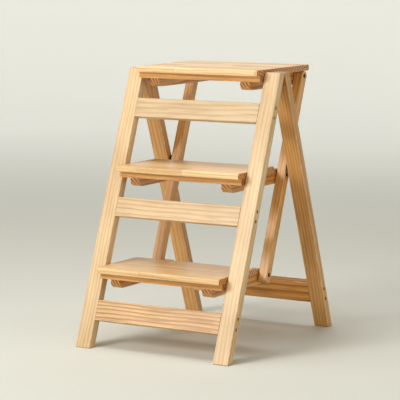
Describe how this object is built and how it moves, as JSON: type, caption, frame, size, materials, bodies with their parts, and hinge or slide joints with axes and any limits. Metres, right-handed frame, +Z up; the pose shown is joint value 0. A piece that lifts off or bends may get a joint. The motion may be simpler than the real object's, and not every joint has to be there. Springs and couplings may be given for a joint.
{
  "type": "folding step ladder",
  "caption": "Wooden folding step ladder with three treads: leaning front frame, rear frame hinged at the top, and tie bars that swing the treads up together.",
  "frame": {"origin": "on the floor, under the middle of the open ladder's footprint", "axes": "+X to the right seen by someone about to climb, -Y towards the climber, +Z up"},
  "size_m": [0.396, 0.5102, 0.6265],
  "materials": {
    "pine_stile": "satin",
    "pine_rail": "satin",
    "pine_tread": "satin",
    "steel": "satin",
    "hinge_steel": "satin",
    "nylon": "matte"
  },
  "bodies": {
    "front_frame": {"front_stile_left": "pine_stile", "front_stile_right": "pine_stile", "front_rail_bottom": "pine_rail", "front_rail_middle": "pine_rail", "front_rail_top": "pine_rail", "rail_screws": "steel", "stile_hinge_leaf_left": "hinge_steel", "stile_hinge_leaf_right": "hinge_steel", "stile_hinge_screws": "steel", "hinge_pin_left": "hinge_steel", "hinge_pin_right": "hinge_steel", "front_pivot_pins": "steel", "front_pivot_washers": "nylon"},
    "rear_frame": {"rear_leg_left": "pine_stile", "rear_leg_right": "pine_stile", "rear_stretcher": "pine_rail", "stretcher_screws": "steel", "leg_hinge_leaf_left": "hinge_steel", "leg_hinge_leaf_right": "hinge_steel", "leg_hinge_screws": "steel", "leg_rest_stud_left": "steel", "leg_rest_stud_right": "steel"},
    "tie_bars": {"tie_bar_left": "pine_stile", "tie_bar_right": "pine_stile", "tie_rest_stud_left": "steel", "tie_rest_stud_right": "steel"},
    "tread_bottom": {"tread_board_bottom": "pine_tread", "front_batten_bottom": "pine_rail", "bearer_bottom_left": "pine_rail", "bearer_bottom_right": "pine_rail", "board_screws_bottom": "steel", "tie_bolts_bottom": "steel", "tie_washers_bottom": "steel"},
    "tread_middle": {"tread_board_middle": "pine_tread", "front_batten_middle": "pine_rail", "bearer_middle_left": "pine_rail", "bearer_middle_right": "pine_rail", "board_screws_middle": "steel", "tie_bolts_middle": "steel", "tie_washers_middle": "steel"},
    "tread_top": {"tread_board_top": "pine_tread", "front_batten_top": "pine_rail", "bearer_top_left": "pine_rail", "bearer_top_right": "pine_rail", "board_screws_top": "steel", "tie_bolts_top": "steel", "tie_washers_top": "steel"}
  },
  "joints": [
    {"name": "tread_middle_fold", "type": "hinge", "parent": "front_frame", "child": "tread_middle", "pos_m": [0, -0.09763, 0.383], "axis": [1, 0, 0], "range_deg": [0, 60]},
    {"name": "tread_bottom_fold", "type": "hinge", "parent": "front_frame", "child": "tread_bottom", "pos_m": [0, -0.1826, 0.1605], "axis": [1, 0, 0], "range_deg": [0, 60]},
    {"name": "tread_top_fold", "type": "hinge", "parent": "front_frame", "child": "tread_top", "pos_m": [0, -0.01267, 0.6055], "axis": [1, 0, 0], "range_deg": [0, 60]},
    {"name": "tie_bars_turn", "type": "hinge", "parent": "tread_middle", "child": "tie_bars", "pos_m": [0, 0.09837, 0.378], "axis": [-1, 0, 0], "range_deg": [0, 60]},
    {"name": "rear_frame_fold", "type": "hinge", "parent": "front_frame", "child": "rear_frame", "pos_m": [0, 0.00473, 0.61], "axis": [-1, 0, 0], "range_deg": [0, 36]}
  ],
  "couplings": [
    {"joint": "tread_bottom_fold", "follows": "tread_middle_fold", "ratio": 1},
    {"joint": "tread_top_fold", "follows": "tread_middle_fold", "ratio": 1},
    {"joint": "tie_bars_turn", "follows": "tread_middle_fold", "ratio": 1}
  ]
}
